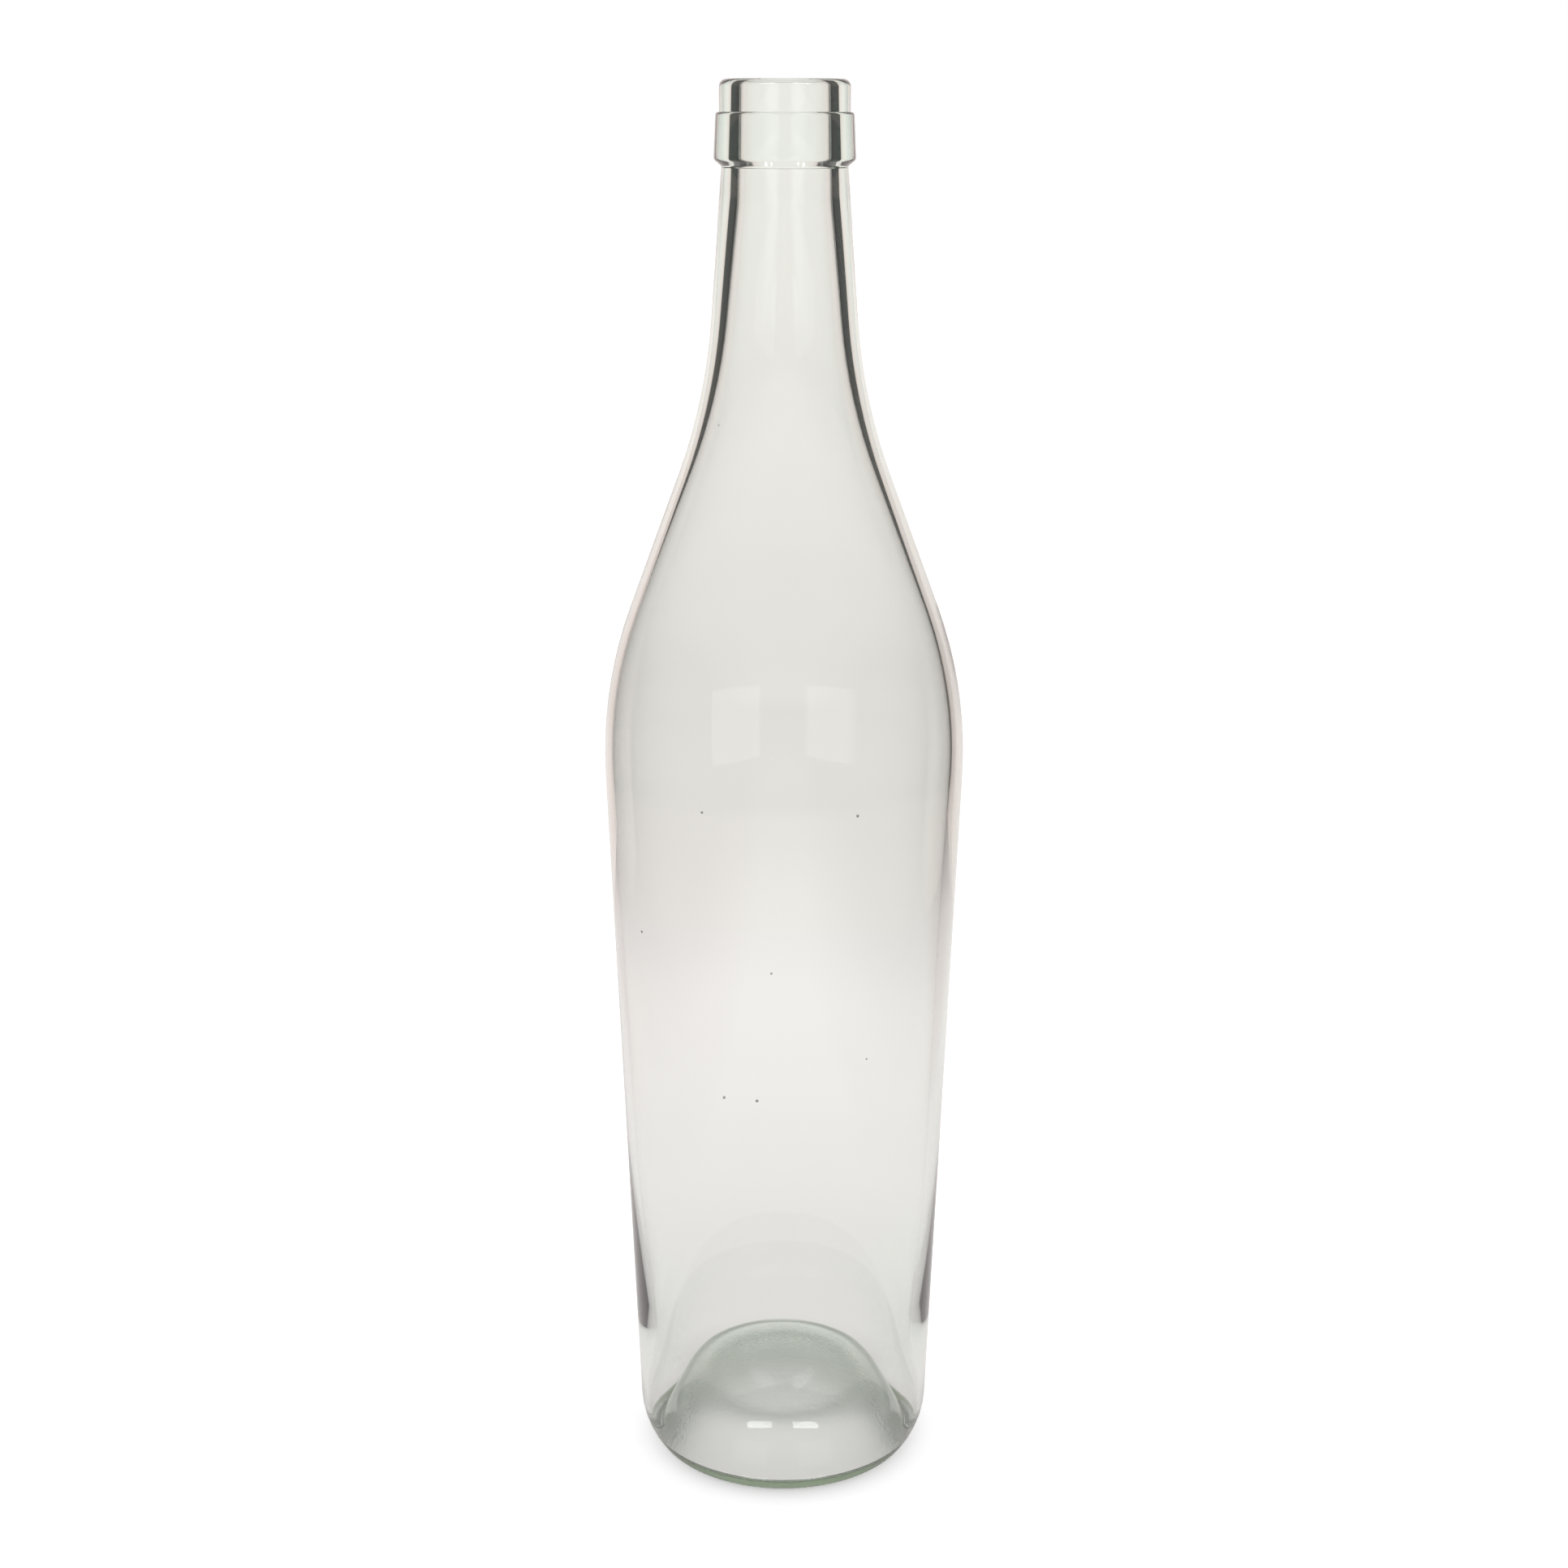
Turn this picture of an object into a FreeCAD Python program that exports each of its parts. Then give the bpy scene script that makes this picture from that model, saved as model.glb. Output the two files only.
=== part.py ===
import FreeCAD, Part
import math
import os

# A clear glass wine bottle, blown in a two-piece mould and closed with a cork.
# One solid of revolution about Z: +Z points out of the mouth, and the origin is
# the centre of the bearing ring that the bottle stands on. Sizes are in mm.

# Heights, stacked from the bearing plane up to the lip.
HEEL_HEIGHT = 5.7          # where the side line meets the heel's slope
BODY_HEIGHT = 172.6        # heel to the corner of the shoulder
SHOULDER_HEIGHT = 61.7     # shoulder corner to the root of the neck
NECK_HEIGHT = 47.3         # root of the neck to the underside of the band
BAND_HEIGHT = 10.7         # the raised band below the lip
LIP_HEIGHT = 6.4           # the plain ring above the band

# Outside radii at those heights, and the radii that round the corners.
BEARING_RADIUS = 28.7
HEEL_RADIUS = 32.8
SHOULDER_RADIUS = 39.6
NECK_ROOT_RADIUS = 16.5
NECK_TOP_RADIUS = 12.95
BEARING_ROUND = 3.7
HEEL_ROUND = 16.7
SHOULDER_ROUND = 94.0
NECK_ROUND = 117.0

# The cork finish: a band with a slight draft, and a rounded lip above it.
BAND_FOOT_RADIUS = 14.55
BAND_TOP_RADIUS = 14.1
LIP_RADIUS = 13.35
BAND_FOOT_SLOPE = 1.3      # how far the band's underside rises outwards
UNDERCUT_ROUND = 0.7
BAND_FOOT_ROUND = 1.0
BAND_TOP_ROUND = 0.7
LIP_OUTER_ROUND = 1.5
LIP_INNER_ROUND = 1.1

# The bore that the cork seals in, narrow at the mouth and opening downwards.
BORE_RADIUS = 9.25
BORE_LENGTH = 24.0
BORE_FOOT_RADIUS = 9.75
BORE_FOOT_ROUND = 40.0

# Wall thickness, measured across the wall. Blown glass is thin at the shoulder
# and thickens towards the neck and the base.
NECK_ROOT_WALL = 2.9
SHOULDER_WALL = 2.1
LOWER_WALL = 2.6

# The base: a bearing ring round a punt, which is the hollow pushed up into the
# base, a steep cone with a low rounded crown, under glass of even thickness. The
# floor runs down the punt into a groove at the foot of the wall.
RING_WIDTH = 4.7
COVE_HEIGHT = 1.0          # the ring's inner edge, before the punt starts
COVE_ROUND = 1.2
PUNT_SHOULDER_RADIUS = 19.5
PUNT_SHOULDER_HEIGHT = 11.2
PUNT_SHOULDER_ROUND = 7.0
CROWN_RISE = 3.5           # the punt's centre over its shoulder corner
CROWN_CORNER_RADIUS = 7.3
PUNT_GLASS = 4.8
GROOVE_HEIGHT = 3.4
GROOVE_ROUND = 1.1

NOTHING = 1e-6             # edges shorter than this are left out


def point(radius, height):
    """A point of the profile in the XZ plane."""
    return FreeCAD.Vector(radius, 0.0, height)


def direction(start, end):
    """How far a straight run of the profile falls below the level, as an angle."""
    return math.atan2(start[1] - end[1], end[0] - start[0])


def punt(glass):
    """Corners of the punt from its centre to its shoulder, and its side's slope.

    The glass is how far the corners stand off the mould, square to its surface,
    so that 0 gives the punt's underside and the full thickness gives the floor.
    """
    ring_inner = BEARING_RADIUS - RING_WIDTH
    crown = (CROWN_CORNER_RADIUS, PUNT_SHOULDER_HEIGHT + CROWN_RISE)
    shoulder = (PUNT_SHOULDER_RADIUS, PUNT_SHOULDER_HEIGHT)
    crown_slope = direction(crown, shoulder)
    side_slope = direction(shoulder, (ring_inner, COVE_HEIGHT))
    corners = []
    for corner, before, after, round_radius in (
        (crown, 0.0, crown_slope, CROWN_CORNER_RADIUS / math.tan(crown_slope / 2.0)),
        (shoulder, crown_slope, side_slope, PUNT_SHOULDER_ROUND),
    ):
        square = glass / math.cos((after - before) / 2.0)
        middle = (before + after) / 2.0
        corners.append((
            corner[0] + square * math.sin(middle),
            corner[1] + square * math.cos(middle),
            round_radius + glass,
        ))
    return corners, side_slope


def across(wall, low, high):
    """A wall's width along the radius, where the side leans from low to high."""
    lean = math.atan2(high[0] - low[0], high[1] - low[1])
    return wall / math.cos(lean)


def outside(levels):
    """Corners (radius, height, round) from the punt's centre out and up to the lip."""
    ring_inner = BEARING_RADIUS - RING_WIDTH
    (crown, shoulder), _ = punt(0.0)
    return [
        (0.0, crown[1], 0.0),
        crown,
        shoulder,
        (ring_inner, COVE_HEIGHT, COVE_ROUND),
        (ring_inner, 0.0, 0.0),
        (BEARING_RADIUS, 0.0, BEARING_ROUND),
        (HEEL_RADIUS, levels["heel"], HEEL_ROUND),
        (SHOULDER_RADIUS, levels["shoulder"], SHOULDER_ROUND),
        (NECK_ROOT_RADIUS, levels["neck_root"], NECK_ROUND),
        (NECK_TOP_RADIUS, levels["band"], UNDERCUT_ROUND),
        (BAND_FOOT_RADIUS, levels["band"] + BAND_FOOT_SLOPE, BAND_FOOT_ROUND),
        (BAND_TOP_RADIUS, levels["lip"], BAND_TOP_ROUND),
        (LIP_RADIUS, levels["lip"], 0.0),
        (LIP_RADIUS, levels["top"], LIP_OUTER_ROUND),
    ]


def inside(levels):
    """Corners from the mouth down the inner wall to the centre of the floor."""
    heel = (HEEL_RADIUS, levels["heel"])
    shoulder = (SHOULDER_RADIUS, levels["shoulder"])
    neck_root = (NECK_ROOT_RADIUS, levels["neck_root"])
    neck_top = (NECK_TOP_RADIUS, levels["band"])
    side_foot = HEEL_RADIUS - across(LOWER_WALL, heel, shoulder)
    (crown, punt_shoulder), side_slope = punt(PUNT_GLASS)
    punt_foot = punt_shoulder[0] + (punt_shoulder[1] - GROOVE_HEIGHT) / math.tan(side_slope)
    return [
        (BORE_RADIUS, levels["top"], LIP_INNER_ROUND),
        (BORE_FOOT_RADIUS, levels["top"] - BORE_LENGTH, BORE_FOOT_ROUND),
        (
            NECK_ROOT_RADIUS - across(NECK_ROOT_WALL, neck_root, neck_top),
            levels["neck_root"],
            NECK_ROUND + NECK_ROOT_WALL,
        ),
        (
            SHOULDER_RADIUS - across(SHOULDER_WALL, heel, shoulder),
            levels["shoulder"],
            SHOULDER_ROUND - SHOULDER_WALL,
        ),
        (side_foot, GROOVE_HEIGHT, GROOVE_ROUND),
        (punt_foot, GROOVE_HEIGHT, GROOVE_ROUND),
        punt_shoulder,
        crown,
        (0.0, crown[1], 0.0),
    ]


def levels_of_the_profile():
    """Heights of the profile's corners above the bearing plane."""
    heel = HEEL_HEIGHT
    shoulder = heel + BODY_HEIGHT
    neck_root = shoulder + SHOULDER_HEIGHT
    band = neck_root + NECK_HEIGHT
    lip = band + BAND_HEIGHT
    return {
        "heel": heel,
        "shoulder": shoulder,
        "neck_root": neck_root,
        "band": band,
        "lip": lip,
        "top": lip + LIP_HEIGHT,
    }


def rounded_edges(corners):
    """Edges of a closed outline: straight runs joined by arcs tangent to both."""
    edges = []
    places = [point(radius, height) for radius, height, _ in corners]
    starts, ends = [], []
    for index, (_, _, round_radius) in enumerate(corners):
        here = places[index]
        back = (places[index - 1] - here).normalize()
        ahead = (places[(index + 1) % len(places)] - here).normalize()
        half_angle = back.getAngle(ahead) / 2.0
        reach = round_radius / math.tan(half_angle)
        start = here + back * reach
        end = here + ahead * reach
        if round_radius > 0.0:
            middle = (back + ahead).normalize()
            to_arc = round_radius / math.sin(half_angle) - round_radius
            edges.append(Part.Arc(start, here + middle * to_arc, end).toShape())
        starts.append(start)
        ends.append(end)
    for index, start in enumerate(starts):
        run_begin = ends[index - 1]
        if (start - run_begin).Length > NOTHING:
            edges.append(Part.LineSegment(run_begin, start).toShape())
    return Part.__sortEdges__(edges)


def bottle():
    """The glass: its whole section, turned once about the axis."""
    levels = levels_of_the_profile()
    section = Part.Wire(rounded_edges(outside(levels) + inside(levels)))
    axis_point = FreeCAD.Vector(0, 0, 0)
    axis = FreeCAD.Vector(0, 0, 1)
    return Part.Face(section).revolve(axis_point, axis, 360)


os.makedirs("parts", exist_ok=True)
glass = bottle()
glass.exportStep("parts/bottle.step")
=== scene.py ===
import logging
import math
from dataclasses import dataclass, field
from enum import Enum

import bmesh
import bpy
from mathutils import Matrix, Vector, noise


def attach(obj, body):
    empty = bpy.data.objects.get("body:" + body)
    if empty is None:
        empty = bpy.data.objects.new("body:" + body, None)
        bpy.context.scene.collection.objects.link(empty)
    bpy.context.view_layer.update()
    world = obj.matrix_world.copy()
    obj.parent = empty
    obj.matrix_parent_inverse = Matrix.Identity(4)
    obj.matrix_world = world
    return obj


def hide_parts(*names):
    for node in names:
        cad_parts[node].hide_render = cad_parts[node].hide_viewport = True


# An empty clear glass wine bottle with a cork finish and a punt: the glass that
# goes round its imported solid. The bottle stands on z = 0 with its axis on +Z.
# Sizes are in millimetres and become metres where they are drawn.

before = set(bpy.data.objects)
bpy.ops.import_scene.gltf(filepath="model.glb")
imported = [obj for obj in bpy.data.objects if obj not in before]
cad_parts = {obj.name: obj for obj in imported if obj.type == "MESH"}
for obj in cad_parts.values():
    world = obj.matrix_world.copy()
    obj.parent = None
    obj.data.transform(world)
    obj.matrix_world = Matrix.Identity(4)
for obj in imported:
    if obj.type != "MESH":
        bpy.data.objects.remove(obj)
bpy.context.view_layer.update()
LOG = logging.getLogger("bottle")
MM = 0.001
WHITE = (1.0, 1.0, 1.0)
Colour = tuple[float, float, float]


class Skin(Enum):
    """The two skins of the glass."""

    MOULD = 0
    BLOWN = 1


class Fade(Enum):
    """The way in which a light fades: up its sheet, or out from the axis."""

    UP = "Y"
    OUT = "R"


class Side(Enum):
    """A side of the set, as the camera sees it."""

    LEFT = -1
    RIGHT = 1


class Ray(Enum):
    """The kinds of ray that a piece of the set can be shown to."""

    CAMERA = "visible_camera"
    DIFFUSE = "visible_diffuse"
    GLOSSY = "visible_glossy"
    TRANSMISSION = "visible_transmission"
    SHADOW = "visible_shadow"


def add_piece(name: str, bm: bmesh.types.BMesh) -> bpy.types.Object:
    """Turn a bmesh into a piece of the scene, and free it.

    Args:
        name: The piece's name.
        bm: Its mesh.

    Returns:
        The piece.
    """
    mesh = bpy.data.meshes.new(name)
    bm.to_mesh(mesh)
    bm.free()
    piece = bpy.data.objects.new(name, mesh)
    bpy.context.scene.collection.objects.link(piece)
    return piece


def radius_of(vert: bmesh.types.BMVert) -> float:
    """Measure how far a vertex is from the bottle's axis.

    Args:
        vert: The vertex.

    Returns:
        The distance, in millimetres.
    """
    return math.hypot(vert.co.x, vert.co.y) / MM


def on_skin(bm: bmesh.types.BMesh, skin: Skin) -> list[bmesh.types.BMVert]:
    """List the vertices on one skin of the glass.

    Args:
        bm: The bottle, with its skins marked.
        skin: The skin.

    Returns:
        Its vertices.
    """
    skins = bm.verts.layers.int["skin"]
    return [vert for vert in bm.verts if vert[skins] == skin.value]


@dataclass(frozen=True)
class Corner:
    """A corner of the glass's section, and the radius that rounds it."""

    radius: float
    height: float
    rounding: float = 0.0

    def place(self) -> Vector:
        """Put the corner in the plane of the section.

        Returns:
            Its point, in metres.
        """
        return Vector((self.radius, 0.0, self.height)) * MM


def slope_of(start: Corner, end: Corner) -> float:
    """Measure how steeply a straight run falls.

    Args:
        start: The corner that it starts from.
        end: The corner that it ends at, further from the axis.

    Returns:
        The angle below the level, in radians.
    """
    return math.atan2(start.height - end.height, end.radius - start.radius)


def across(wall: float, low: Corner, high: Corner) -> float:
    """Turn a wall's thickness into its width along the radius.

    Args:
        wall: The thickness, square to the wall.
        low: The lower corner of the leaning side.
        high: The upper corner of the leaning side.

    Returns:
        The width along the radius.
    """
    lean = math.atan2(high.radius - low.radius, high.height - low.height)
    return wall / math.cos(lean)


@dataclass(frozen=True)
class Body:
    """The tapered body and the long shoulder, up to the root of the neck.

    The shoulder's corner is 0.05 mm inside the solid's, because this mesh is finer
    than the solid's own and has to stay inside its box.
    """

    heel: Corner = Corner(32.8, 5.7, 16.7)
    shoulder: Corner = Corner(39.55, 178.3, 94.0)
    neck_root: Corner = Corner(16.5, 240.0, 117.0)
    lower_wall: float = 2.6
    shoulder_wall: float = 2.1

    def outside(self) -> list[Corner]:
        """List the corners that the mould shaped, from the heel up.

        Returns:
            The corners.
        """
        return [self.heel, self.shoulder, self.neck_root]

    def inside(self, root: Corner) -> list[Corner]:
        """List the corners of the blown skin, from the neck down.

        Args:
            root: The blown skin's corner at the root of the neck.

        Returns:
            The corners.
        """
        width = across(self.shoulder_wall, self.heel, self.shoulder)
        shoulder = Corner(
            self.shoulder.radius - width,
            self.shoulder.height,
            self.shoulder.rounding - self.shoulder_wall,
        )
        return [root, shoulder]

    def side_foot(self) -> float:
        """Find where the blown side meets the base.

        Returns:
            The radius there.
        """
        return self.heel.radius - across(self.lower_wall, self.heel, self.shoulder)


@dataclass(frozen=True)
class Neck:
    """The neck, and the cork finish at its top: the bore, the band and the lip."""

    neck_top: Corner = Corner(12.95, 287.3, 0.7)
    band_foot: Corner = Corner(14.55, 288.6, 1.0)
    band_top: Corner = Corner(14.1, 298.0, 0.7)
    lip_foot: Corner = Corner(13.35, 298.0)
    lip_top: Corner = Corner(13.35, 304.4, 1.5)
    mouth: Corner = Corner(9.25, 304.4, 1.1)
    bore_foot: Corner = Corner(9.75, 280.4, 40.0)
    root_wall: float = 2.9

    def outside(self) -> list[Corner]:
        """List the corners that the mould shaped, from the neck up.

        Returns:
            The corners.
        """
        return [self.neck_top, self.band_foot, self.band_top, self.lip_foot, self.lip_top]

    def inside(self) -> list[Corner]:
        """List the corners of the bore, from the mouth down.

        Returns:
            The corners.
        """
        return [self.mouth, self.bore_foot]

    def inner_root(self, root: Corner) -> Corner:
        """Find the blown skin's corner at the root of the neck.

        Args:
            root: The outer corner there.

        Returns:
            The inner corner.
        """
        width = across(self.root_wall, root, self.neck_top)
        return Corner(root.radius - width, root.height, root.rounding + self.root_wall)


@dataclass(frozen=True)
class Base:
    """The bearing ring, and the punt with its even glass inside it."""

    bearing: Corner = Corner(28.7, 0.0, 3.7)
    cove: Corner = Corner(24.0, 1.0, 1.2)
    punt_shoulder: Corner = Corner(19.5, 11.2, 7.0)
    crown_rise: float = 3.5
    crown_corner_radius: float = 7.3
    punt_glass: float = 4.8
    groove_height: float = 3.4
    groove_round: float = 1.1

    def punt(self, glass: float) -> tuple[list[Corner], float]:
        """Work out the punt at some distance from the mould.

        Args:
            glass: How far it stands off the mould, square to it.

        Returns:
            The centre, crown and shoulder corners, and the slope of its side.
        """
        crown = Corner(self.crown_corner_radius, self.punt_shoulder.height + self.crown_rise)
        crown_slope = slope_of(crown, self.punt_shoulder)
        side_slope = slope_of(self.punt_shoulder, self.cove)
        crown_round = crown.radius / math.tan(crown_slope / 2.0)
        corners = []
        for corner, before, after, rounding in (
            (crown, 0.0, crown_slope, crown_round),
            (self.punt_shoulder, crown_slope, side_slope, self.punt_shoulder.rounding),
        ):
            square = glass / math.cos((after - before) / 2.0)
            middle = (before + after) / 2.0
            corners.append(Corner(
                corner.radius + square * math.sin(middle),
                corner.height + square * math.cos(middle),
                rounding + glass,
            ))
        return [Corner(0.0, corners[0].height), *corners], side_slope

    def outside(self) -> list[Corner]:
        """List the corners that the mould shaped, from the centre out.

        Returns:
            The corners.
        """
        corners, _ = self.punt(0.0)
        return [*corners, self.cove, Corner(self.cove.radius, 0.0), self.bearing]

    def inside(self, side_foot: float) -> list[Corner]:
        """List the corners of the floor, from the wall to the centre.

        Args:
            side_foot: The radius where the blown side meets the floor.

        Returns:
            The corners.
        """
        (centre, crown, shoulder), side_slope = self.punt(self.punt_glass)
        reach = (shoulder.height - self.groove_height) / math.tan(side_slope)
        wall_foot = Corner(side_foot, self.groove_height, self.groove_round)
        punt_foot = Corner(shoulder.radius + reach, self.groove_height, self.groove_round)
        return [wall_foot, punt_foot, shoulder, crown, centre]


@dataclass
class Pen:
    """Draws an open section in a bmesh, as straight runs and tangent arcs."""

    mesh: bmesh.types.BMesh
    longest_run: float = 7.0 * MM
    longest_facet: float = 4.5 * MM
    widest_facet: float = 0.13
    fewest_facets: int = 4

    def __post_init__(self) -> None:
        """Make the layer that remembers which skin a vertex is on."""
        self.skins = self.mesh.verts.layers.int.new("skin")
        self.skin = Skin.MOULD
        self.tip: bmesh.types.BMVert | None = None

    def land(self, tip: bmesh.types.BMVert) -> None:
        """Move the pen to a new vertex and mark the skin that it is on.

        Args:
            tip: The new vertex.
        """
        self.tip = tip
        self.tip[self.skins] = self.skin.value

    def run(self, place: Vector) -> None:
        """Draw a straight run, in pieces that aren't too long.

        Args:
            place: Where the run ends.
        """
        whole = place - self.tip.co
        pieces = math.ceil(whole.length / self.longest_run)
        for _ in range(pieces):
            made = bmesh.ops.extrude_vert_indiv(self.mesh, verts=[self.tip])
            made["verts"][0].co += whole / pieces
            self.land(made["verts"][0])

    def arc(self, centre: Vector, turn: float) -> None:
        """Draw an arc from where the pen is.

        Args:
            centre: The centre of the arc.
            turn: How far it turns, from +X towards +Z, in radians.
        """
        length = abs(turn) * (self.tip.co - centre).length
        facets = max(
            self.fewest_facets,
            math.ceil(abs(turn) / self.widest_facet),
            math.ceil(length / self.longest_facet),
        )
        for _ in range(facets):
            made = bmesh.ops.spin(
                self.mesh,
                geom=[self.tip],
                cent=centre,
                axis=(0.0, -1.0, 0.0),
                angle=turn / facets,
                steps=1,
            )
            self.land(next(e for e in made["geom_last"] if isinstance(e, bmesh.types.BMVert)))

    def draw(self, outside: list[Corner], inside: list[Corner]) -> None:
        """Draw the section through its corners, rounding each one.

        Args:
            outside: The corners of the mould's skin, starting on the axis.
            inside: The corners of the blown skin, ending on the axis.
        """
        corners = outside + inside
        self.land(self.mesh.verts.new(corners[0].place()))
        for before, corner, after in zip(corners, corners[1:], corners[2:]):
            if corner is inside[0]:
                self.skin = Skin.BLOWN
            here = corner.place()
            inward = (here - before.place()).normalized()
            outward = (after.place() - here).normalized()
            cross = inward.x * outward.z - inward.z * outward.x
            turn = math.atan2(cross, inward.dot(outward))
            self.run(here - inward * corner.rounding * MM * math.tan(abs(turn) / 2.0))
            if corner.rounding > 0.0:
                left = Vector((-inward.z, 0.0, inward.x)) * math.copysign(1.0, turn)
                self.arc(self.tip.co + left * corner.rounding * MM, turn)
        self.run(corners[-1].place())


@dataclass(frozen=True)
class ClearGlass:
    """Flint glass, with a trace of green in its depth, a stippled underside, and a dark green
    painted shade on the heel's lowest band.
    """

    name: str = "clear_glass"
    ior: float = 1.52
    depth_colour: Colour = (0.42, 0.80, 0.60)
    density: float = 20.0
    ripple_scale: float = 26.0
    ripple_depth: float = 0.00005
    stipple: str = "stipple"
    stipple_scale: float = 1100.0
    stipple_depth: float = 0.00004
    stipple_roughness: float = 0.35
    # The heel's lowest band gets a painted dark green. It is partly the glass's own green and
    # partly painted shade for the floor in shadow under the ring.
    heel: str = "heel"
    heel_shade_colour: Colour = (0.15, 0.22, 0.12)
    heel_shade_top: float = 0.0045
    heel_shade_fade: float = 0.0007

    @staticmethod
    def noise_bump(tree: bpy.types.NodeTree, scale: float, depth: float) -> bpy.types.Node:
        """Add a bump that follows a noise.

        Args:
            tree: The material's tree.
            scale: The noise's scale.
            depth: The bump's depth, in metres.

        Returns:
            The bump's node.
        """
        place = tree.nodes.new("ShaderNodeTexCoord")
        grain = tree.nodes.new("ShaderNodeTexNoise")
        grain.inputs["Scale"].default_value = scale
        grain.inputs["Detail"].default_value = 1.0
        tree.links.new(place.outputs["Object"], grain.inputs["Vector"])
        bump = tree.nodes.new("ShaderNodeBump")
        bump.inputs["Distance"].default_value = depth
        tree.links.new(grain.outputs["Fac"], bump.inputs["Height"])
        return bump

    def painted_heel_shade(self, tree: bpy.types.NodeTree) -> bpy.types.NodeSocket:
        """Wire the dark green painted on the heel's lowest band. It is partly the thick glass's
        own green and partly painted shade for the floor in shadow under the ring.

        Args:
            tree: The material's tree.

        Returns:
            The glass's colour.
        """
        where = tree.nodes.new("ShaderNodeAttribute")
        where.attribute_name = self.heel
        place = tree.nodes.new("ShaderNodeTexCoord")
        split = tree.nodes.new("ShaderNodeSeparateXYZ")
        tree.links.new(place.outputs["Object"], split.inputs["Vector"])
        fade = tree.nodes.new("ShaderNodeMapRange")
        fade.inputs["From Min"].default_value = self.heel_shade_top
        fade.inputs["From Max"].default_value = self.heel_shade_top - self.heel_shade_fade
        tree.links.new(split.outputs["Z"], fade.inputs["Value"])
        share = tree.nodes.new("ShaderNodeMath")
        share.operation = "MULTIPLY"
        tree.links.new(where.outputs["Fac"], share.inputs[0])
        tree.links.new(fade.outputs["Result"], share.inputs[1])
        mix = tree.nodes.new("ShaderNodeMix")
        mix.data_type = "RGBA"
        mix.inputs["A"].default_value = (*WHITE, 1.0)
        mix.inputs["B"].default_value = (*self.heel_shade_colour, 1.0)
        tree.links.new(share.outputs["Value"], mix.inputs["Factor"])
        return mix.outputs["Result"]

    def material(self) -> bpy.types.Material:
        """Make the glass.

        Returns:
            The material.
        """
        material = bpy.data.materials.new(self.name)
        material.use_nodes = True
        tree = material.node_tree
        shader = tree.nodes["Principled BSDF"]
        # The base colour carries the painted shade on the heel's lowest band.
        tree.links.new(self.painted_heel_shade(tree), shader.inputs["Base Color"])
        shader.inputs["IOR"].default_value = self.ior
        shader.inputs["Transmission Weight"].default_value = 1.0
        depth = tree.nodes.new("ShaderNodeVolumeAbsorption")
        depth.inputs["Color"].default_value = (*self.depth_colour, 1.0)
        depth.inputs["Density"].default_value = self.density
        tree.links.new(depth.outputs["Volume"], tree.nodes["Material Output"].inputs["Volume"])
        where = tree.nodes.new("ShaderNodeAttribute")
        where.attribute_name = self.stipple
        rough = tree.nodes.new("ShaderNodeMath")
        rough.operation = "MULTIPLY"
        rough.inputs[1].default_value = self.stipple_roughness
        tree.links.new(where.outputs["Fac"], rough.inputs[0])
        tree.links.new(rough.outputs["Value"], shader.inputs["Roughness"])
        ripple = self.noise_bump(tree, self.ripple_scale, self.ripple_depth)
        grain = self.noise_bump(tree, self.stipple_scale, self.stipple_depth)
        tree.links.new(where.outputs["Fac"], grain.inputs["Strength"])
        tree.links.new(ripple.outputs["Normal"], grain.inputs["Normal"])
        tree.links.new(grain.outputs["Normal"], shader.inputs["Normal"])
        return material


@dataclass(frozen=True)
class Blowing:
    """What blowing leaves inside: ripples, and a wall off centre and thick at its foot."""

    most_off_centre: float = 0.5
    least_off_centre: float = 0.2
    bore_height: float = 280.0
    ripple: float = 0.14
    ripple_size: float = 24.0
    stretch: float = 2.5
    settle: float = 1.2
    wall_from: float = 29.0
    settle_span: tuple[float, float, float] = (10.0, 28.0, 70.0)

    def dress(self, bm: bmesh.types.BMesh) -> None:
        """Move the blown skin.

        Args:
            bm: The bottle, with its skins marked.
        """
        for vert in on_skin(bm, Skin.BLOWN):
            on_wall = radius_of(vert) > self.wall_from
            level = min(1.0, vert.co.z / (self.bore_height * MM))
            swell = math.sin(math.pi * level)
            off = self.least_off_centre + (self.most_off_centre - self.least_off_centre) * swell
            spot = vert.co / (self.ripple_size * MM)
            spot.z /= self.stretch
            depth = self.ripple * swell * noise.noise(spot)
            if on_wall:
                depth -= self.settle * self.settled(vert.co.z / MM)
            outward = Vector((vert.co.x, vert.co.y, 0.0))
            if outward.length > 0.0:
                vert.co += outward.normalized() * depth * MM
            vert.co.x -= off * swell * MM

    def settled(self, height: float) -> float:
        """Tell how far the glass has sunk towards the heel, as a share of the most.

        Args:
            height: The height, in millimetres.

        Returns:
            The share, from 0 to 1.
        """
        low, middle, high = self.settle_span
        rise = min(1.0, max(0.0, (height - low) / (middle - low)))
        fall = min(1.0, max(0.0, (high - height) / (high - middle)))
        return rise * rise * (3.0 - 2.0 * rise) * fall * fall


@dataclass(frozen=True)
class Knurling:
    """The fine ribs that the mould cuts across the bearing ring."""

    ribs: int = 128
    depth: float = 0.10
    inner: float = 25.0
    outer: float = 30.2
    highest: float = 2.0

    def dress(self, bm: bmesh.types.BMesh) -> None:
        """Raise the hollows between the ribs.

        Args:
            bm: The bottle, with its skins marked.
        """
        for vert in on_skin(bm, Skin.MOULD):
            low = vert.co.z <= self.highest * MM
            if low and self.inner < radius_of(vert) < self.outer:
                angle = math.atan2(vert.co.y, vert.co.x)
                vert.co.z += self.depth * MM * (0.5 + 0.5 * math.cos(self.ribs * angle))


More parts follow.
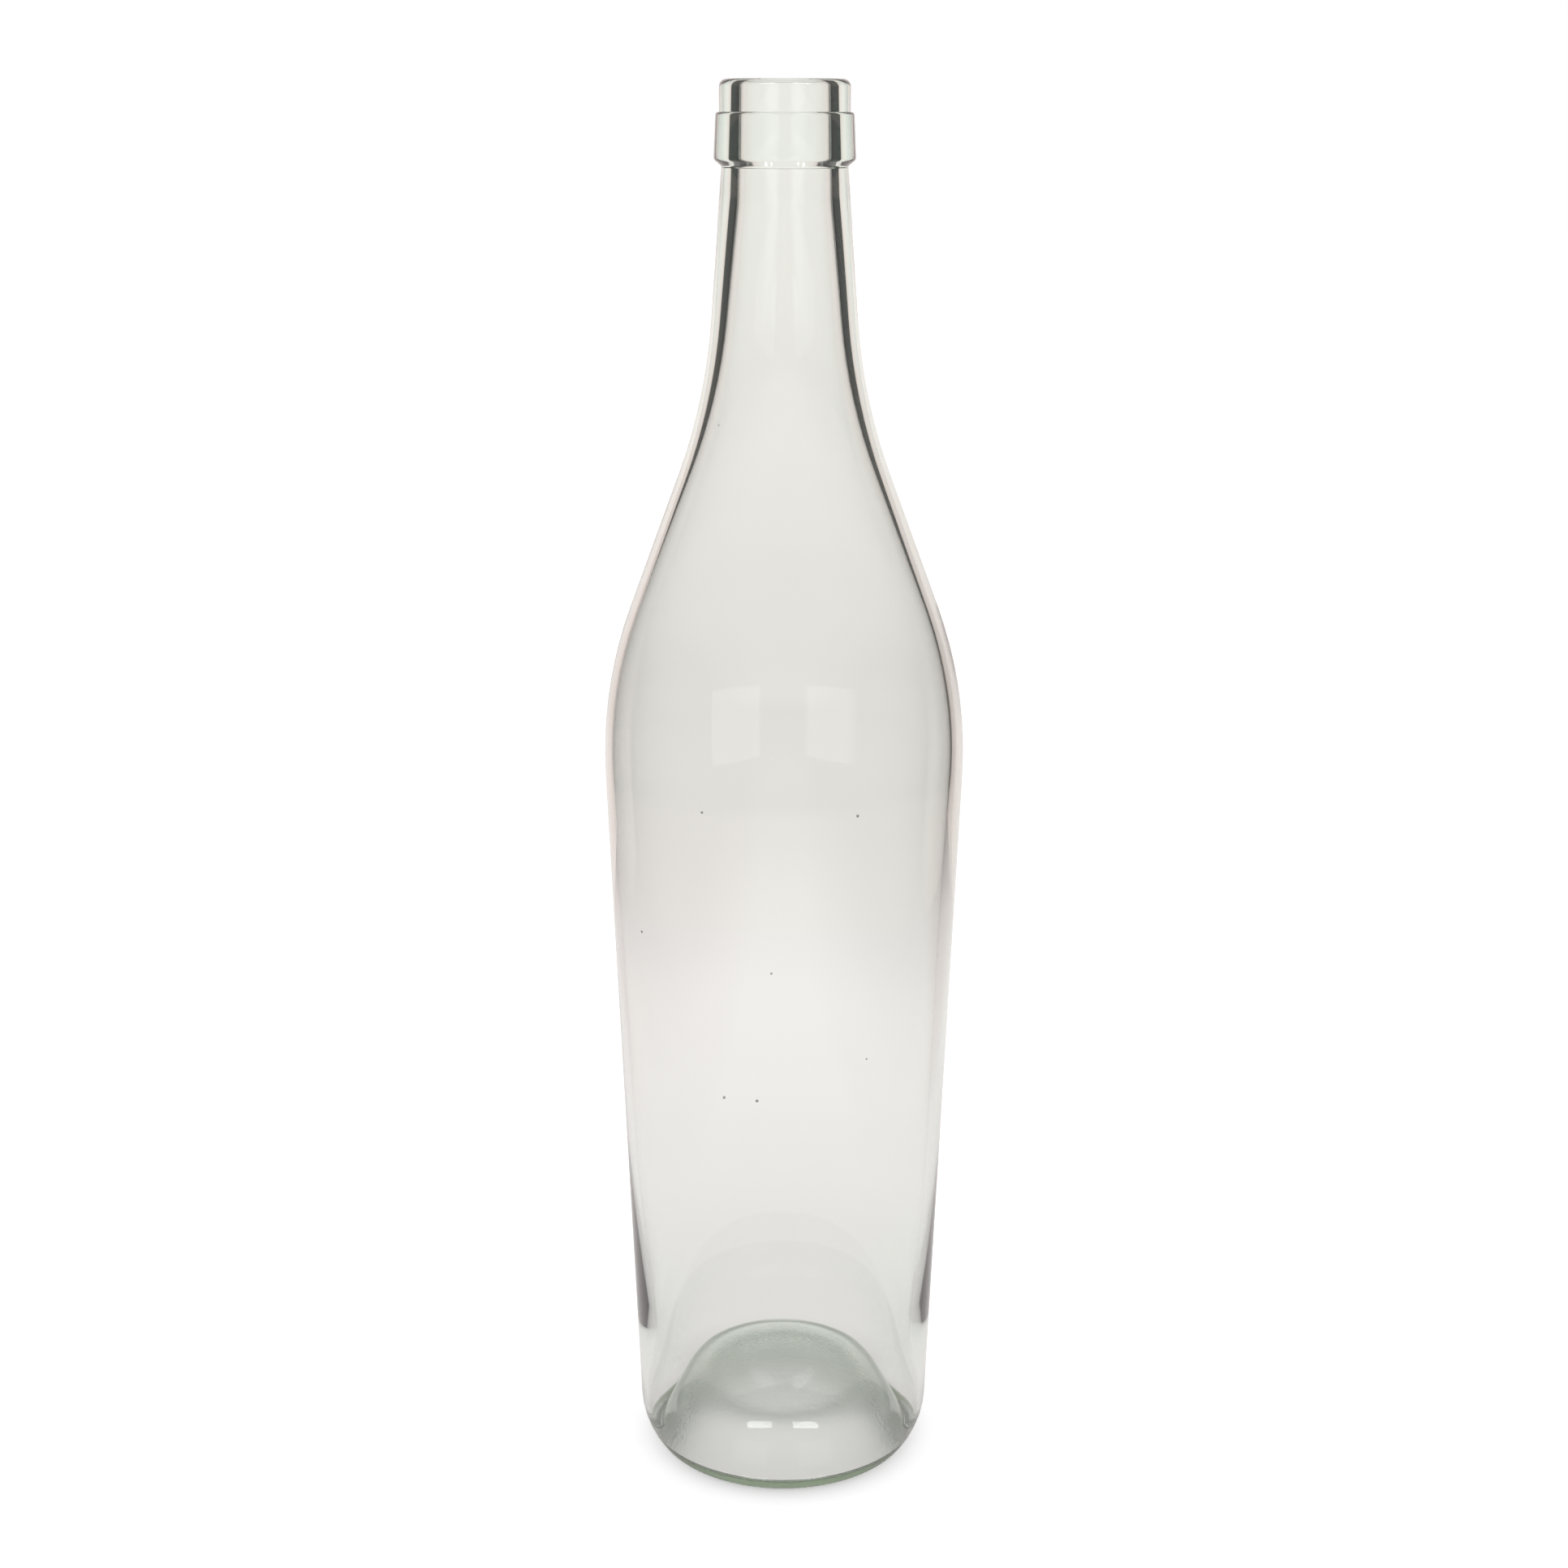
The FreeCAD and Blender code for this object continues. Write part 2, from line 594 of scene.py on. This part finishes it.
@dataclass(frozen=True)
class Stipple:
    """The stippled parts of the mould, and the heel, marked for the dark green painted shade on
    its lowest band.
    """

    name: str = "stipple"
    reach: float = 23.9
    highest: float = 16.0
    ring: tuple[float, float] = (25.0, 31.0)
    ring_top: float = 2.0
    ring_share: float = 0.6
    # The layer that marks the heel for the painted dark green shade.
    heel: str = "heel"

    def dress(self, bm: bmesh.types.BMesh) -> None:
        """Mark the vertices of the punt's underside, the ring, and the heel that carries the
        painted shade.

        Args:
            bm: The bottle, with its skins marked.
        """
        marks = bm.verts.layers.float.new(self.name)
        heel_shade_marks = bm.verts.layers.float.new(self.heel)
        inner, outer = self.ring
        for vert in on_skin(bm, Skin.MOULD):
            if vert.co.z > self.highest * MM:
                continue
            radius = radius_of(vert)
            vert[heel_shade_marks] = float(radius > inner)
            if radius < self.reach:
                vert[marks] = 1.0
            elif inner < radius < outer and vert.co.z < self.ring_top * MM:
                vert[marks] = self.ring_share


@dataclass(frozen=True)
class Seams:
    """The lines that the halves of the mould leave, front and back, on the neck."""

    height: float = 0.05
    lowest: float = 205.0
    highest: float = 284.0
    fade: float = 20.0
    half_width_angle: float = 0.008

    def dress(self, bm: bmesh.types.BMesh) -> None:
        """Raise the seams.

        Args:
            bm: The bottle, with its skins marked.
        """
        for vert in on_skin(bm, Skin.MOULD):
            level = vert.co.z / MM
            if not self.lowest < level < self.highest:
                continue
            if abs(math.atan2(vert.co.x, abs(vert.co.y))) < self.half_width_angle:
                share = min(1.0, (level - self.lowest) / self.fade)
                outward = Vector((vert.co.x, vert.co.y, 0.0)).normalized()
                vert.co += outward * self.height * share * MM


@dataclass(frozen=True)
class Seeds:
    """Small bubbles caught in the wall, each at an angle from the front and a height."""

    places: tuple[tuple[float, float], ...] = (
        (-48.0, 236.0),
        (29.0, 105.0),
        (-4.0, 126.0),
        (-26.0, 160.0),
        (-54.0, 130.0),
        (-9.0, 97.0),
        (150.0, 140.0),
        (205.0, 70.0),
    )
    smallest: float = 0.16
    growth: float = 0.03
    depth: float = 1.0
    subdivisions: int = 2

    def dress(self, bm: bmesh.types.BMesh) -> None:
        """Hollow the bubbles out of the wall.

        Args:
            bm: The bottle, with its skins marked.
        """
        outline = [vert for vert in on_skin(bm, Skin.MOULD) if abs(vert.co.x) < MM]
        spots = [vert.co.copy() for vert in outline]
        for number, (angle, height) in enumerate(self.places):
            front = math.radians(angle - 90.0)
            level = height * MM
            nearest = min(spots, key=lambda spot: abs(spot.z - level))
            radius = math.hypot(*nearest.xy) - self.depth * MM
            centre = Vector((radius * math.cos(front), radius * math.sin(front), level))
            made = bmesh.ops.create_icosphere(
                bm,
                subdivisions=self.subdivisions,
                radius=(self.smallest + self.growth * number) * MM,
                matrix=Matrix.Translation(centre),
            )
            faces = {face for vert in made["verts"] for face in vert.link_faces}
            bmesh.ops.reverse_faces(bm, faces=list(faces))


@dataclass
class Bottle:
    """The whole bottle: its parts' section, turned about the axis and dressed."""

    base: Base = field(default_factory=Base)
    body: Body = field(default_factory=Body)
    neck: Neck = field(default_factory=Neck)
    glass: ClearGlass = field(default_factory=ClearGlass)
    sector_segments: int = 12
    doublings: int = 5
    merge_distance: float = 1e-7
    sharp_angle: float = 0.6

    def build(self) -> bmesh.types.BMesh:
        """Draw the section, spin a sector of it and double that to the full turn.

        Returns:
            The bottle's mesh, with its skins marked.
        """
        bm = bmesh.new()
        root = self.neck.inner_root(self.body.neck_root)
        outside = self.base.outside() + self.body.outside() + self.neck.outside()
        inside = self.neck.inside() + self.body.inside(root)
        inside += self.base.inside(self.body.side_foot())
        Pen(bm).draw(outside, inside)
        sector = math.tau / 2**self.doublings
        bmesh.ops.spin(
            bm,
            geom=bm.verts[:] + bm.edges[:],
            cent=(0.0, 0.0, 0.0),
            axis=(0.0, 0.0, 1.0),
            angle=sector,
            steps=self.sector_segments,
        )
        for doubling in range(self.doublings):
            copy = bmesh.ops.duplicate(bm, geom=bm.verts[:] + bm.edges[:] + bm.faces[:])
            bmesh.ops.rotate(
                bm,
                verts=[part for part in copy["geom"] if isinstance(part, bmesh.types.BMVert)],
                cent=(0.0, 0.0, 0.0),
                matrix=Matrix.Rotation(sector * 2**doubling, 3, "Z"),
            )
        bmesh.ops.remove_doubles(bm, verts=bm.verts[:], dist=self.merge_distance)
        bmesh.ops.recalc_face_normals(bm, faces=bm.faces[:])
        return bm

    def dress(self, bm: bmesh.types.BMesh) -> bpy.types.Object:
        """Add what the mould and blowing leave, and the finish.

        Args:
            bm: The bottle's mesh.

        Returns:
            The bottle's object.
        """
        for face in bm.faces:
            face.smooth = True
        for edge in bm.edges:
            edge.smooth = edge.calc_face_angle(0.0) < self.sharp_angle
        for trace in (Blowing(), Knurling(), Stipple(), Seams(), Seeds()):
            trace.dress(bm)
            LOG.info("dressed with %s", type(trace).__name__)
        piece = add_piece("bottle_glass", bm)
        piece.data.materials.append(self.glass.material())
        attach(piece, "root")
        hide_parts("bottle")
        LOG.info("bottle_glass: %d faces", len(piece.data.polygons))
        return piece


@dataclass
class Wiring:
    """The nodes and links of a light's tree, with the wiring that lights share."""

    tree: bpy.types.NodeTree

    def join(self, start: bpy.types.NodeSocket, end: bpy.types.NodeSocket) -> None:
        """Link two sockets.

        Args:
            start: The output.
            end: The input.
        """
        self.tree.links.new(start, end)

    def maths(self, operation: str, *values: bpy.types.NodeSocket) -> bpy.types.NodeSocket:
        """Work out a number from others.

        Args:
            operation: What the node does.
            values: The outputs that it reads.

        Returns:
            The result.
        """
        node = self.tree.nodes.new("ShaderNodeMath")
        node.operation = operation
        for value, socket in zip(values, node.inputs):
            self.join(value, socket)
        return node.outputs["Value"]

    def ramp(
        self, value: bpy.types.NodeSocket, stops: list[tuple[float, Colour]]
    ) -> bpy.types.NodeSocket:
        """Turn a number into a colour by smooth stops.

        Args:
            value: The number, from 0 to 1.
            stops: Each stop's place and colour, in order.

        Returns:
            The colour.
        """
        node = self.tree.nodes.new("ShaderNodeValToRGB")
        node.color_ramp.interpolation = "EASE"
        while len(node.color_ramp.elements) < len(stops):
            node.color_ramp.elements.new(0.5)
        for element, (spot, colour) in zip(node.color_ramp.elements, stops):
            element.position = spot
            element.color = (*colour, 1.0)
        self.join(value, node.inputs["Fac"])
        return node.outputs["Color"]

    def seen_by_glass(self) -> bpy.types.NodeSocket:
        """Tell whether it is the glass that sees the light.

        Returns:
            1 for a ray that the glass reflects or lets through, and 0 for others.
        """
        path = self.tree.nodes.new("ShaderNodeLightPath")
        return self.maths(
            "MAXIMUM", path.outputs["Is Transmission Ray"], path.outputs["Is Glossy Ray"]
        )


@dataclass(frozen=True)
class Glow:
    """A light that fades over its own sheet, by stops of place and strength."""

    name: str
    stops: tuple[tuple[float, float], ...]
    colour: Colour = WHITE
    fade: Fade = Fade.UP
    span: float = 1.0
    sides: tuple[tuple[float, Colour], ...] = ()

    def share(self, spot: float) -> float:
        """Place a stop on the ramp.

        Args:
            spot: Its place on the sheet, in metres.

        Returns:
            The place from 0 to 1.
        """
        part = spot / self.span
        return part if self.fade is Fade.OUT else 0.5 + 0.5 * part

    def wire(self, tree: bpy.types.NodeTree) -> bpy.types.NodeSocket:
        """Wire the light's nodes.

        Args:
            tree: The material's tree.

        Returns:
            The light's output.
        """
        wiring = Wiring(tree)
        place = tree.nodes.new("ShaderNodeTexCoord").outputs["Object"]
        split = tree.nodes.new("ShaderNodeSeparateXYZ")
        wiring.join(place, split.inputs["Vector"])
        where = split.outputs["Y"]
        if self.fade is Fade.OUT:
            flat = tree.nodes.new("ShaderNodeVectorMath")
            flat.operation = "LENGTH"
            wiring.join(place, flat.inputs[0])
            where = flat.outputs["Value"]
        level = tree.nodes.new("ShaderNodeMapRange")
        level.inputs["From Min"].default_value = 0.0 if self.fade is Fade.OUT else -self.span
        level.inputs["From Max"].default_value = self.span
        wiring.join(where, level.inputs["Value"])
        strongest = max(strength for _, strength in self.stops)
        stops = [
            (self.share(spot), tuple(tint * strength / strongest for tint in self.colour))
            for spot, strength in self.stops
        ]
        tint = wiring.ramp(level.outputs["Result"], stops)
        if self.sides:
            aside = wiring.maths("ABSOLUTE", split.outputs["X"])
            both = tree.nodes.new("ShaderNodeVectorMath")
            both.operation = "MULTIPLY"
            wiring.join(tint, both.inputs[0])
            wiring.join(wiring.ramp(aside, list(self.sides)), both.inputs[1])
            tint = both.outputs["Vector"]
        glow = tree.nodes.new("ShaderNodeEmission")
        glow.inputs["Strength"].default_value = strongest
        wiring.join(tint, glow.inputs["Color"])
        return glow.outputs["Emission"]

    def material(self) -> bpy.types.Material:
        """Make the light.

        Returns:
            The material.
        """
        material = bpy.data.materials.new(self.name)
        material.use_nodes = True
        tree = material.node_tree
        tree.nodes.remove(tree.nodes["Principled BSDF"])
        tree.links.new(self.wire(tree), tree.nodes["Material Output"].inputs["Surface"])
        return material


@dataclass(frozen=True)
class Sheet:
    """A flat piece of the set, which keeps its place as the camera sees it."""

    name: str
    size: tuple[float, float]
    place: tuple[float, float, float]
    glow: Glow
    tilt: float = 0.0
    turn: float = 0.0
    rays: tuple[Ray, ...] = (Ray.GLOSSY, Ray.TRANSMISSION)

    def build(self, camera: bpy.types.Object) -> bpy.types.Object:
        """Hang the sheet.

        Args:
            camera: The camera, whose axes place the sheet.

        Returns:
            The sheet's object.
        """
        bm = bmesh.new()
        bmesh.ops.create_grid(bm, x_segments=1, y_segments=1, size=0.5)
        bmesh.ops.scale(bm, verts=bm.verts[:], vec=(*self.size, 1.0))
        sheet = add_piece(self.name, bm)
        sheet.parent = camera
        sheet.location = self.place
        sheet.rotation_euler = (math.radians(self.tilt), math.radians(self.turn), 0.0)
        sheet.data.materials.append(self.glow.material())
        for ray in Ray:
            setattr(sheet, ray.value, ray in self.rays)
        LOG.info("hung %s", self.name)
        return sheet


@dataclass(frozen=True)
class Lamp:
    """One of a pair of even lights, given by the one on the right."""

    name: str
    size: tuple[float, float]
    place: tuple[float, float, float]
    strength: float
    tilt: float = 0.0
    turn: float = 0.0

    def sheet(self, side: Side) -> Sheet:
        """Make the pair's light on one side.

        Args:
            side: The side.

        Returns:
            Its sheet.
        """
        aside, up, back = self.place
        return Sheet(
            f"{self.name}_{side.name.lower()}",
            self.size,
            (side.value * aside, up, back),
            Glow(self.name, ((0.0, self.strength), (1.0, self.strength))),
            self.tilt,
            side.value * self.turn,
        )


@dataclass(frozen=True)
class Camera:
    """The camera, level with the lip and looking down at the body."""

    distance: float = 0.510
    eye_height: float = 0.29825
    pitch: float = 15.53
    roll: float = 0.08
    lens: float = 55.66
    sensor: float = 36.0
    clip: tuple[float, float] = (0.01, 50.0)

    def build(self) -> bpy.types.Object:
        """Stand the camera.

        Returns:
            The camera.
        """
        data = bpy.data.cameras.new("camera")
        data.lens = self.lens
        data.sensor_width = self.sensor
        data.clip_start, data.clip_end = self.clip
        camera = bpy.data.objects.new("camera", data)
        bpy.context.scene.collection.objects.link(camera)
        turn = Matrix.Rotation(math.radians(90.0 - self.pitch), 4, "X")
        roll = Matrix.Rotation(math.radians(self.roll), 4, "Z")
        stand = Matrix.Translation((0.0, -self.distance, self.eye_height))
        camera.matrix_world = stand @ turn @ roll
        bpy.context.scene.camera = camera
        return camera


@dataclass(frozen=True)
class Floor:
    """The pale floor: white paper that keeps the shadow, and what the glass sees of it, a glow
    with painted shadow and shade.
    """

    radius: float = 6.0
    segments: int = 96
    drop: float = 0.00005
    shade: float = 0.85
    roughness: float = 0.9
    lift: float = 0.45
    # What the glass sees of the floor is a glow. Its dip from 0.022 to 0.052 m off the axis is
    # a painted shadow round the ring. Its fall far off and its darker sides are painted shade.
    glow: Glow = Glow(
        "floor_glow_painted_shadow",
        (
            (0.0, 0.787),
            (0.022, 0.745),
            (0.027, 0.435),
            (0.036, 0.497),
            (0.052, 0.787),
            (0.09, 0.838),
            (0.15, 0.880),
            (0.22, 0.916),
            (0.28, 0.931),
            (0.36, 0.898),
            (0.42, 0.776),
            (0.60, 0.155),
        ),
        (1.0, 0.947, 0.930),
        Fade.OUT,
        0.70,
        (
            (0.0, WHITE),
            (0.12, WHITE),
            (0.20, (0.88, 0.84, 0.84)),
            (0.35, (0.50, 0.46, 0.46)),
        ),
    )

    def material(self) -> bpy.types.Material:
        """Make the paper.

        Returns:
            The material.
        """
        material = bpy.data.materials.new("floor_paper")
        material.use_nodes = True
        tree = material.node_tree
        paper = tree.nodes["Principled BSDF"]
        paper.inputs["Base Color"].default_value = (self.shade, self.shade, self.shade, 1.0)
        paper.inputs["Roughness"].default_value = self.roughness
        paper.inputs["Specular IOR Level"].default_value = 0.0
        paper.inputs["Emission Color"].default_value = (*WHITE, 1.0)
        paper.inputs["Emission Strength"].default_value = self.lift
        wiring = Wiring(tree)
        blend = tree.nodes.new("ShaderNodeMixShader")
        wiring.join(wiring.seen_by_glass(), blend.inputs["Fac"])
        wiring.join(paper.outputs["BSDF"], blend.inputs[1])
        # The glass sees the glow, with its painted shadow round the ring and its painted shade
        # at the sides.
        wiring.join(self.glow.wire(tree), blend.inputs[2])
        wiring.join(blend.outputs["Shader"], tree.nodes["Material Output"].inputs["Surface"])
        return material

    def build(self) -> bpy.types.Object:
        """Lay the floor.

        Returns:
            The floor.
        """
        bm = bmesh.new()
        bmesh.ops.create_circle(bm, cap_ends=True, segments=self.segments, radius=self.radius)
        bmesh.ops.translate(bm, verts=bm.verts[:], vec=(0.0, 0.0, -self.drop))
        floor = add_piece("floor", bm)
        floor.data.materials.append(self.material())
        LOG.info("laid the floor")
        return floor


@dataclass(frozen=True)
class Studio:
    """The pale set: camera, floor, a backdrop with painted light and shade, and lamps in a dim
    room.
    """

    camera: Camera = Camera()
    floor: Floor = Floor()
    room: float = 0.04
    # The backdrop shows only to the glass. Its brightness by height and its darker sides are
    # painted light and shade, which the glass shows as shading through its walls.
    backdrop: Sheet = Sheet(
        "backdrop",
        (0.66, 1.6),
        (0.0, 0.0, -0.91),
        Glow(
            "backdrop_glow_painted_light",
            (
                (-0.20, 0.890),
                (-0.056, 0.898),
                (-0.041, 0.895),
                (-0.026, 0.898),
                (-0.010, 0.916),
                (0.005, 0.926),
                (0.020, 0.919),
                (0.050, 0.875),
                (0.080, 0.895),
                (0.110, 0.931),
                (0.145, 0.963),
                (0.200, 1.035),
                (0.240, 1.056),
            ),
            (1.0, 0.947, 0.915),
            Fade.UP,
            0.25,
            (
                (0.0, WHITE),
                (0.10, WHITE),
                (0.18, (0.99, 0.95, 0.95)),
                (0.27, (0.92, 0.84, 0.83)),
                (0.325, (0.68, 0.60, 0.58)),
            ),
        ),
    )
    lamps: tuple[Lamp, ...] = (
        Lamp("soft_box", (0.34, 0.22), (0.31, -0.078, 0.006), 0.55, turn=30.0),
        Lamp("top_light", (0.20, 0.07), (0.18, 0.294, -0.192), 9.0, tilt=-49.0),
    )

    def world(self) -> None:
        """Make the room: white to the camera and the floor, and dim to the glass."""
        world = bpy.data.worlds.new("room")
        bpy.context.scene.world = world
        world.use_nodes = True
        tree = world.node_tree
        wiring = Wiring(tree)
        level = tree.nodes.new("ShaderNodeMapRange")
        level.inputs["To Min"].default_value = 1.0
        level.inputs["To Max"].default_value = self.room
        wiring.join(wiring.seen_by_glass(), level.inputs["Value"])
        light = tree.nodes["Background"]
        light.inputs["Color"].default_value = (*WHITE, 1.0)
        wiring.join(level.outputs["Result"], light.inputs["Strength"])

    def build(self) -> None:
        """Put up the whole set."""
        camera = self.camera.build()
        self.floor.build()
        self.backdrop.build(camera)
        for side in Side:
            for lamp in self.lamps:
                lamp.sheet(side).build(camera)
        self.world()
        bpy.context.scene.view_settings.view_transform = "Standard"
        LOG.info("studio is up")


def main() -> None:
    """Build and dress the bottle, and then put up the set."""
    logging.basicConfig(level=logging.INFO)
    bottle = Bottle()
    bottle.dress(bottle.build())
    Studio().build()


if __name__ == "__main__":
    main()
